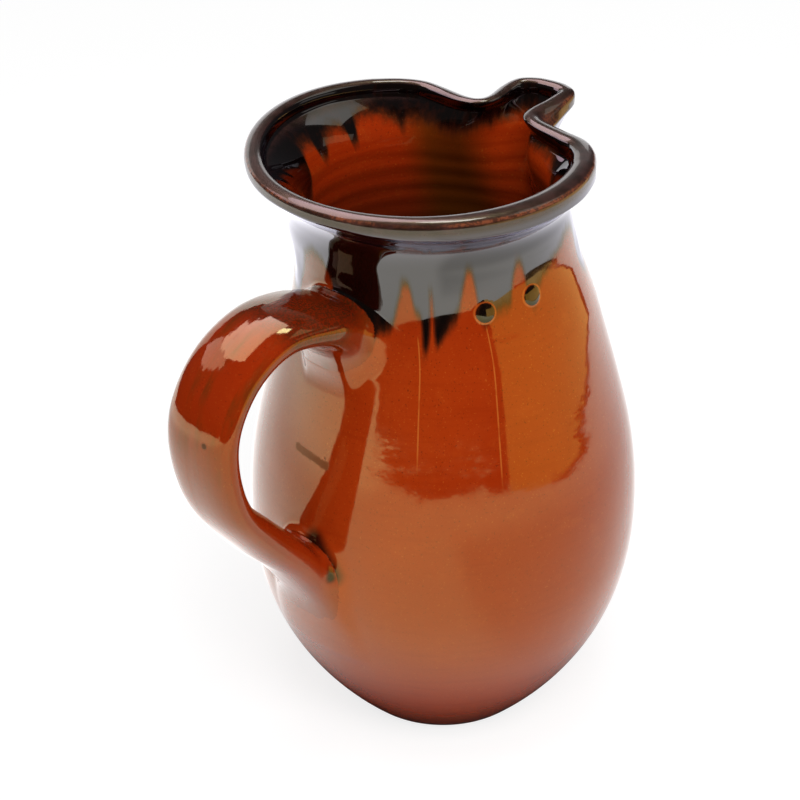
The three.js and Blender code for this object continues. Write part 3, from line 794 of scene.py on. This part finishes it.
# The glaze's shader where it is the same all over, then its bump and roughness
GLAZE = {
    "IOR": 1.5, "Specular Tint": (1.0, 0.88, 0.32), "Coat IOR": 1.6, "Coat Tint": (0.385, 0.36, 0.55),
    "Coat Roughness": 0.03,
}
BUMP_DISTANCE = 0.001
BODY_BUMP, STRAP_BUMP, STRAP_RIDGES = 0.22, 0.3, 0.35
GLAZE_ROUGHNESS = (0.05, 0.09)
SATIN_ROUGH, MARK_ROUGH, BARE_ROUGH = 0.3, 0.6, 0.8
# Share of the coat's gloss that is left on the satin lip and on the beads
SATIN_GLOSS, BEAD_GLOSS = 0.4, 0.1


def finish_glaze(nodes, colour, rough, bump, gloss):
    """The glaze's shader: an even gloss over the clay, and a harder one where the dark coat lies."""
    nodes.finish(nodes.filled("ShaderNodeBsdfPrincipled", {
        "Base Color": colour, "Roughness": rough, "Normal": bump, "Coat Weight": gloss, **GLAZE}))


def amber_glaze(nodes, place):
    """Amber glaze over red clay, with slow and fine changes of depth and grains of iron."""
    slow = nodes.noise(place, *SLOW)
    amber = nodes.mix(nodes.ramp(slow, 0.35, 0.72), AMBER_DEEP, AMBER_PALE)
    amber = nodes.mix(0.66, amber, AMBER)
    cloud = nodes.noise(place, *CLOUD)
    amber = nodes.mix(nodes.ramp(cloud, 0.54, 0.78, 0.0, 0.35), amber, AMBER_PALE)
    grain = nodes.noise(place, *GRAIN)
    amber = nodes.mix(nodes.ramp(grain, 0.64, 0.76, 0.0, 0.6), amber, BROWN)
    return nodes.mix(nodes.ramp(grain, 0.34, 0.24, 0.0, 0.35), amber, THREAD)


def glaze_bump(nodes, place, strength, ridges=0.0):
    """Slow waves that bend the reflections and a fine orange peel, and the roughness with it."""
    waves = nodes.noise(place, *WAVES)
    peel = nodes.noise(place, *PEEL)
    height = nodes.math("ADD", nodes.math("MULTIPLY_ADD", peel, 0.16, waves), ridges)
    inputs = {"Strength": strength, "Distance": BUMP_DISTANCE, "Height": height}
    return nodes.filled("ShaderNodeBump", inputs), nodes.ramp(peel, 0.3, 0.7, *GLAZE_ROUGHNESS)


def paint_joint_shade(nodes, place_mm, colour, tail_shade_reach):
    """Painted shade in the crevice over the handle's tail and in the crease beside its root."""
    painted_pool = nodes.ramp(nodes.line_distance(place_mm, *TAIL_SHADE_LINE), *tail_shade_reach, 0.0, 0.95)
    colour = nodes.mix(painted_pool, colour, DARK)
    crease_shade = nodes.ramp(nodes.line_distance(place_mm, *ROOT_CREASE_SHADE_LINE), *ROOT_CREASE_SHADE_REACH, 0.0, 0.85)
    return nodes.mix(crease_shade, colour, BROWN)


def both_places(nodes):
    """A shaded point's place in metres and in millimetres."""
    place = nodes.new("ShaderNodeTexCoord").outputs["Object"]
    return place, nodes.vector("MULTIPLY", place, TO_MM)


def places_on_body(nodes):
    """Where a shaded point lies on the body: place, angles, side and ragged noise, as sockets."""
    place, place_mm = both_places(nodes)
    x, y, z = nodes.axes(place_mm)
    lean = nodes.ramp(z, OFFSET_START, CREST)
    from_x = nodes.math("MULTIPLY_ADD", lean, -float(RIM_OFFSET[0]), x)
    from_y = nodes.math("MULTIPLY_ADD", lean, -float(RIM_OFFSET[1]), y)
    degrees = nodes.product(nodes.math("ARCTAN2", from_y, from_x), 180 / math.pi)
    slanted = nodes.math("ADD", degrees, nodes.math("MULTIPLY_ADD", z, -SLANT, SLANT * SLANT_FROM))
    normal_x, normal_y, normal_z = nodes.axes(nodes.new("ShaderNodeNewGeometry").outputs["Normal"])
    outward = nodes.math("MULTIPLY_ADD", normal_x, from_x, nodes.product(normal_y, from_y))
    inside = nodes.math("LESS_THAN", outward, 0.0)
    return SimpleNamespace(
        place=place, mm=place_mm, z=z, degrees=degrees, slanted=slanted, normal_z=normal_z,
        inside=inside, outside=nodes.rest(inside),
        ragged=nodes.noise(place, *RAGGED))


def dark_coat(nodes, at):
    """Shares of the dark coat and of its brown fringe, and the height above the coat's lower edge."""
    edge_inside = edge_height(nodes, at.degrees, COAT_EDGE_INSIDE)
    wander = nodes.math("MULTIPLY_ADD", at.ragged, RAGGED_BY, -RAGGED_BY / 2)
    dark, fringe = 0.0, 0.0
    part = 1 / len(EDGE_BLUR)
    for shift in EDGE_BLUR:
        edge_outside = edge_height(nodes, nodes.math("ADD", at.slanted, shift), COAT_EDGE)
        edge = nodes.mix_value(at.inside, edge_outside, edge_inside)
        over = nodes.math("ADD", nodes.math("SUBTRACT", at.z, edge), wander)
        dark = nodes.math("ADD", dark, nodes.ramp(over, *DARK_OVER, 0.0, part))
        fringe = nodes.math("ADD", fringe, nodes.ramp(over, *FRINGE_OVER, 0.0, part))
    # Any of the shifts does for the height, which only tones the coat slowly
    return dark, fringe, over


def add_beads(nodes, at, dark, fringe):
    """Adds the beads to the coat. Also gives their pale rims, and where they lack the coat's gloss."""
    rims, dull = 0.0, 0.0
    for turn, height, width, _ in BEADS:
        along = nodes.math("MULTIPLY_ADD", at.slanted, MM_PER_DEGREE, -turn * MM_PER_DEGREE)
        up = nodes.math("SUBTRACT", at.z, height)
        square = nodes.math("MULTIPLY_ADD", along, along, nodes.product(up, up))
        away = nodes.product(nodes.math("SQRT", square), 2 / width)
        dark = nodes.math("MAXIMUM", dark, nodes.product(nodes.ramp(away, 0.98, 0.86), at.outside))
        rim = nodes.product(nodes.ramp(away, 0.90, 1.0), nodes.ramp(away, 1.2, 1.06), at.outside)
        rims = nodes.math("MAXIMUM", rim, rims)
        to_rim = nodes.ramp(away, 0.3, 0.75, 0.65, 1.0)
        dull_here = nodes.product(to_rim, nodes.ramp(away, 1.1, 1.0), at.outside)
        dull = nodes.math("MAXIMUM", dull_here, dull)
    clear = nodes.rest(nodes.product(rims, 0.85))
    return nodes.product(dark, clear), nodes.product(fringe, clear), rims, dull


def body_amber(nodes, at, rims):
    """The body's amber glaze: bands, brown inside, threads, marks, and painted shade on one side inside and at
    the joints; and where the marks lie.
    """
    amber = amber_glaze(nodes, at.place)
    amber = nodes.mix(nodes.ramp(at.z, *PALE_BELLY, 0.0, 0.35), amber, AMBER_PALE)
    turned = nodes.noise(at.place, *TURNED)
    bands_outside = nodes.ramp(turned, 0.5, 0.76, 0.0, 0.2)
    bands_inside = nodes.ramp(turned, 0.4, 0.66, 0.1, 0.45)
    amber = nodes.mix(nodes.mix_value(at.inside, bands_outside, bands_inside), amber, AMBER_DEEP)
    amber = nodes.mix(nodes.product(at.inside, nodes.ramp(at.z, *DEEP_INSIDE, 0.0, 0.8)), amber, BROWN)
    # Painted shade on one side of the inside wall
    from_shade = nodes.apart(at.degrees, SHADE_AT)
    shade = nodes.product(at.inside, nodes.ramp(from_shade, *SHADE_REACH, 0.0, 0.75))
    amber = nodes.mix(shade, amber, INSIDE_SHADE)
    amber = nodes.mix(nodes.product(rims, 0.45), amber, THREAD)
    broken = nodes.ramp(at.ragged, 0.3, 0.5, 0.3, 0.7)
    for turn, top, bottom in THREADS:
        side = nodes.apart(at.degrees, turn)
        line = nodes.product(
            nodes.ramp(side, *THREAD_SIDES), nodes.ramp(at.z, bottom, bottom + THREAD_FOOT),
            nodes.ramp(at.z, top, top - THREAD_TOP), at.outside)
        amber = nodes.mix(nodes.product(line, broken), amber, THREAD)
    marks = 0.0
    loose = nodes.noise(at.place, *LOOSE)
    for start, end, half_width, colour in MARKS:
        distance = nodes.line_distance(at.mm, start, end)
        uneven = nodes.math("MULTIPLY_ADD", loose, half_width, distance)
        mark = nodes.ramp(uneven, half_width * 1.7, half_width * 1.1, 0.0, 0.8)
        marks = nodes.math("MAXIMUM", mark, marks)
        amber = nodes.mix(mark, amber, colour)
    # Painted shade in the crevice at the tail and in the crease at the root
    return paint_joint_shade(nodes, at.mm, amber, TAIL_SHADE_ON_BODY), marks


def finish_lip(nodes, at, colour):
    """A painted reflection in purple brown under the lip, mottled satin on it, and speckles worn through its
    outer corner.
    """
    # The purple brown band under the lip outside is a painted reflection on the dark coat
    colour = nodes.mix(nodes.product(nodes.ramp(at.z, *UNDER_LIP), at.outside), colour, PLUM_REFLECTION)
    steep_inside = nodes.product(at.inside, nodes.ramp(at.normal_z, 0.85, 0.6))
    satin = nodes.product(
        nodes.ramp(at.z, *ON_LIP), nodes.rest(steep_inside),
        nodes.ramp(at.normal_z, -0.35, 0.0))
    mottle = nodes.noise(at.place, *MOTTLE)
    lip = nodes.mix(nodes.ramp(mottle, 0.32, 0.68), LIP_DARK, LIP_BROWN)
    colour = nodes.mix(nodes.product(satin, 0.85), colour, lip)
    corner = nodes.product(
        nodes.ramp(at.normal_z, 0.25, 0.5), nodes.ramp(at.normal_z, 0.9, 0.7), at.outside)
    speckle = nodes.ramp(nodes.noise(at.place, *SPECKLE), 0.44, 0.56, 0.25, 1.0)
    patchy = nodes.ramp(nodes.noise(at.place, *PATCHY), 0.38, 0.55, 0.2, 1.0)
    worn = nodes.product(nodes.ramp(at.z, *WORN_LIP), corner, speckle, patchy)
    return nodes.mix(worn, colour, WEAR), satin


def body_material():
    material, nodes = new_material("body_glaze")
    at = places_on_body(nodes)
    dark, fringe, over = dark_coat(nodes, at)
    dark, fringe, rims, dull = add_beads(nodes, at, dark, fringe)
    amber, marks = body_amber(nodes, at, rims)
    colour = nodes.mix(fringe, amber, BROWN)
    streak = nodes.noise(at.place, *STREAK)
    low_run = nodes.ramp(over, *LOW_OVER, 0.03, 0.45)
    deep = nodes.mix(nodes.product(nodes.ramp(streak, 0.5, 0.68), low_run), DARK, BROWN)
    colour, satin = finish_lip(nodes, at, nodes.mix(dark, colour, deep))

    # The underside is left bare
    bare = nodes.math("LESS_THAN", at.z, BARE_BELOW)
    grit = nodes.mix(nodes.noise(at.place, *GRIT), TERRACOTTA, TERRACOTTA_GRIT)
    colour = nodes.mix(bare, colour, grit)
    bump, rough = glaze_bump(nodes, at.place, BODY_BUMP)
    for share, own in ((satin, SATIN_ROUGH), (marks, MARK_ROUGH), (bare, BARE_ROUGH)):
        rough = nodes.mix_value(share, rough, own)
    gloss = nodes.product(
        dark, nodes.rest(bare), nodes.ramp(satin, 0.0, 1.0, 1.0, SATIN_GLOSS),
        nodes.ramp(dull, 0.0, 1.0, 1.0, BEAD_GLOSS))
    finish_glaze(nodes, colour, rough, bump, gloss)
    return material


def handle_material():
    material, nodes = new_material("handle_glaze")
    place, place_mm = both_places(nodes)
    x, _, z = nodes.axes(place_mm)
    amber = nodes.mix(0.45, amber_glaze(nodes, place), AMBER_DEEP)
    # Brown streaks along the pulled strap, thinning out downwards
    streaks = nodes.noise(place, *STRAP_STREAKS)
    clouds = nodes.noise(place, *STRAP_CLOUDS)
    upper = nodes.ramp(z, *STREAKED_STRAP, 0.25, 1.0)
    streaky = nodes.product(
        nodes.ramp(streaks, 0.42, 0.66), nodes.ramp(clouds, 0.3, 0.62, 0.2, 0.8), upper)
    amber = nodes.mix(streaky, amber, UMBER_GLAZE)
    # Iron speckles over the crest, where the dark coat ran onto the strap
    uneven = nodes.math(
        "MULTIPLY_ADD", nodes.noise(place, *STRAP_UNEVEN), COATED_STRAP_BY, -COATED_STRAP_BY / 2)
    crest = nodes.product(
        nodes.ramp(nodes.math("ADD", z, uneven), *COATED_STRAP),
        nodes.ramp(nodes.math("ADD", x, uneven), *COATED_STRAP_X))
    specks = nodes.ramp(nodes.noise(place, *STRAP_SPECKS), 0.44, 0.60)
    coated = nodes.mix(nodes.product(specks, 0.6), BROWN, AMBER_DEEP)
    colour = nodes.mix(nodes.product(crest, 0.9), amber, coated)
    dot = nodes.ramp(nodes.vector("DISTANCE", place_mm, DOT), *DOT_REACH, 0.0, 0.9)
    colour = nodes.mix(dot, colour, REDDISH)
    # Painted shade in the crevice at the tail and in the crease at the root
    colour = paint_joint_shade(nodes, place_mm, colour, TAIL_SHADE_ON_STRAP)
    pulled = nodes.noise(place, *STRAP_PULLED)
    bump, rough = glaze_bump(nodes, place, STRAP_BUMP, nodes.product(pulled, STRAP_RIDGES))
    finish_glaze(nodes, colour, nodes.mix_value(dot, rough, MARK_ROUGH), bump, 0.0)
    return material


# Camera: 750 mm from the rim's middle, turned 48 degrees from the side view to the handle, pitched down
HEADING = math.radians(48)
PITCH = math.radians(30.35)
CAMERA_AT = (-0.50717, -0.45666, 0.51202)
LENS = 107.74
SENSOR = 36
SHIFT = -43 / 800

# The studio is in metres, and its places are (right, away, up) as seen from the camera's side
DARK_ROOM = (0.03, 0.025, 0.02)
OCHRE = (1.0, 0.6, 0.2)
UMBER = (0.25, 0.13, 0.05)
WARM_WHITE = (1.0, 0.74, 0.9)
PALE = (1.0, 1.0, 1.0)
RIGHT_WALL = [(0.57, 0.02), (0.56, 0.12), (0.55, 0.25), (0.54, 0.37)]
# What the glaze mirrors: a dark room in front and on the left, an ochre wall with a brown foot on the
# right, and pale walls behind. Each has its path of (right, away), low and high edge, colour and strength.
CARDS = [
    ("dark_front", [(-0.90, -0.98), (0.42, -1.1), (0.56, -0.72)], 0.0, 2.2, DARK_ROOM, 1.0),
    ("dark_left", [(-1.5, -1.5), (-1.7, -0.9), (-1.7, 0.2), (-1.5, 0.6)], 0.0, 0.62, DARK_ROOM, 1.0),
    ("ochre_front", [(0.56, -0.72), (0.61, -0.42), (0.57, -0.06)], 0.0, 0.22, OCHRE, 2.3),
    ("ochre_right", [(0.57, -0.06), *RIGHT_WALL], 0.012, 0.22, OCHRE, 2.3),
    ("brown_right", [(0.54, 0.37), (0.515, 0.41)], 0.0, 0.22, UMBER, 1.0),
    ("brown_foot", [(0.57, -0.3), *RIGHT_WALL], 0.0, 0.012, UMBER, 1.0),
    ("pale_right", [(0.8, -0.3), (0.8, 0.15)], 0.42, 0.60, PALE, 0.6),
    ("pale_back", [(-1.9, 1.6), (-1.0, 2.6), (0.9, 3.0)], 0.0, 1.3, PALE, 1.8),
]
# Soft boxes up on the left, a sheen on the right and a lamp: middle, size, colour and strength
HUNG_CARDS = [
    ("sheen", (0.63, 0.14, 0.97), (0.5, 0.4), PALE, 1.2),
    ("soft_box", (-0.36, 0.36, 1.06), (0.95, 0.5), WARM_WHITE, 7.0),
    ("soft_low", (-0.8, 0.25, 0.8), (0.5, 0.3), WARM_WHITE, 3.2),
    ("lamp", (0.13, 0.44, 1.4), (0.3, 0.2), PALE, 18.0),
]
HUNG_CARDS_FACE = (0, 0, 0.17)
# The light on the jug and the floor, which the glaze doesn't mirror: middle, size and watts
AREA_LIGHTS = [
    ("front_box", (0.25, -1.0, 1.25), (0.7, 0.7), 14),
    ("top_box", (0.0, -0.2, 1.5), (0.7, 0.7), 7),
]
AREA_LIGHTS_FACE = (0, 0, 0.1)
# The world as the camera, the glaze and everything else see it
WORLD_SEEN, WORLD_MIRRORED, WORLD_LIGHT = 1.0, 0.05, 0.27
# The floor's corners, and its colour and glow to the camera, white and with the jug's shadow kept
FLOOR_CORNERS = ((-4, -4), (4, -4), (4, 5), (-4, 5))
FLOOR_SEEN, FLOOR_GLOW = 0.3, 0.80
# What the glaze mirrors in it: start, end and the values there. It is dimmer near the jug on the right,
# and brighter far on the left.
POOL_BY_AWAY = (0.035, 0.11, 0.0, 1.25)
POOL_BY_NEAR_RIGHT = (0.0, 1.0, 1.0, 0.5)
POOL_BY_LEFT = (-0.4, -0.75, 1.0, 1.9)
SHADE_BY_AWAY = (0.03, 0.075, 0.08, 0.8)
ON_RIGHT = (0.0, 0.08)
NEAR_JUG = (0.62, 0.22)


def view_vector(right, away, up):
    """A direction or place given from the camera's side of the jug, in the jug's frame."""
    c, s = math.cos(HEADING), math.sin(HEADING)
    return Vector((right * c + away * s, -right * s + away * c, up))


def make_camera():
    data = bpy.data.cameras.new("camera")
    data.lens = LENS
    data.sensor_width = SENSOR
    data.shift_x = SHIFT
    camera = bpy.data.objects.new("camera", data)
    right = view_vector(1, 0, 0)
    ahead = view_vector(0, math.cos(PITCH), -math.sin(PITCH))
    top = right.cross(ahead)
    turned = Matrix((right, top, -ahead)).transposed().to_4x4()
    camera.matrix_world = Matrix.Translation(CAMERA_AT) @ turned
    bpy.context.collection.objects.link(camera)
    bpy.context.scene.camera = camera


def glossy_only(name, corners, faces, colour, strength):
    """A glowing card that is seen only in the glaze."""
    material, nodes = new_material(name)
    nodes.finish(nodes.filled("ShaderNodeEmission", {"Color": colour, "Strength": strength}))
    obj = add_object(name, corners, faces, material)
    for sight in ("camera", "diffuse", "shadow", "transmission"):
        setattr(obj, f"visible_{sight}", False)


def standing_card(name, path, low, high, colour, strength):
    corners = [view_vector(right, away, up) for right, away in path for up in (low, high)]
    faces = [(2 * i, 2 * i + 1, 2 * i + 3, 2 * i + 2) for i in range(len(path) - 1)]
    glossy_only(name, corners, faces, colour, strength)


def hung_card(name, middle, size, colour, strength):
    at = view_vector(*middle)
    turned = (view_vector(*HUNG_CARDS_FACE) - at).to_track_quat("Z", "Y").to_matrix()
    half, other = size[0] / 2, size[1] / 2
    flat = [Vector((a * half, b * other, 0)) for a, b in ((-1, -1), (1, -1), (1, 1), (-1, 1))]
    glossy_only(name, [at + turned @ corner for corner in flat], [(0, 1, 2, 3)], colour, strength)


def make_floor():
    material, nodes = new_material("floor")
    path = nodes.new("ShaderNodeLightPath")
    camera, glossy = path.outputs["Is Camera Ray"], path.outputs["Is Glossy Ray"]
    place = nodes.new("ShaderNodeTexCoord").outputs["Object"]
    away = nodes.vector("DISTANCE", place, (0.0, 0.0, 0.0))
    side = nodes.vector("DOT_PRODUCT", place, tuple(view_vector(1, 0, 0)))
    near_right = nodes.product(nodes.ramp(side, *ON_RIGHT), nodes.ramp(away, *NEAR_JUG))
    painted_pool = nodes.product(
        nodes.ramp(away, *POOL_BY_AWAY), nodes.ramp(near_right, *POOL_BY_NEAR_RIGHT),
        nodes.ramp(side, *POOL_BY_LEFT))
    shade = nodes.ramp(away, *SHADE_BY_AWAY)
    matte = nodes.filled("ShaderNodeBsdfDiffuse", {"Color": nodes.mix_value(camera, shade, FLOOR_SEEN)})
    strength = nodes.math("MULTIPLY_ADD", camera, FLOOR_GLOW, nodes.product(glossy, painted_pool))
    glow = nodes.filled("ShaderNodeEmission", {"Strength": strength})
    nodes.finish(nodes.new("ShaderNodeAddShader", matte, glow).outputs[0])
    corners = [view_vector(right, away, 0) for right, away in FLOOR_CORNERS]
    floor = add_object("floor", corners, [(0, 1, 2, 3)], material)


def area_light(name, middle, size, power):
    data = bpy.data.lights.new(name, "AREA")
    data.shape = "RECTANGLE"
    data.size, data.size_y = size
    data.energy = power
    light = bpy.data.objects.new(name, data)
    at = view_vector(*middle)
    aim = view_vector(*AREA_LIGHTS_FACE) - at
    light.matrix_world = Matrix.Translation(at) @ aim.to_track_quat("-Z", "Y").to_matrix().to_4x4()
    light.visible_glossy = False
    light.visible_camera = False
    bpy.context.collection.objects.link(light)


def make_studio():
    world = bpy.data.worlds.new("studio")
    bpy.context.scene.world = world
    world.use_nodes = True
    nodes = Nodes(world.node_tree)
    path = nodes.new("ShaderNodeLightPath")
    unseen = nodes.mix_value(path.outputs["Is Glossy Ray"], WORLD_LIGHT, WORLD_MIRRORED)
    strength = nodes.mix_value(path.outputs["Is Camera Ray"], unseen, WORLD_SEEN)
    back = nodes.filled("ShaderNodeBackground", {"Color": PALE, "Strength": strength})
    nodes.finish(back, "ShaderNodeOutputWorld")
    make_floor()
    for row in CARDS:
        standing_card(*row)
    for row in HUNG_CARDS:
        hung_card(*row)
    for row in AREA_LIGHTS:
        area_light(*row)


body = add_piece("body_glazed", body_grid(), body_material())
handle = add_piece("handle_glazed", strap_grid(), handle_material())
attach(body, "root")
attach(handle, "root")
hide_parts("jug_body", "rim_glaze", "glaze_run_left", "glaze_run_right", "glaze_bead_left", "glaze_bead_right")
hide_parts("handle", "upper_joint_clay", "lower_joint_clay")
make_camera()
make_studio()
bpy.context.scene.view_settings.view_transform = "Standard"
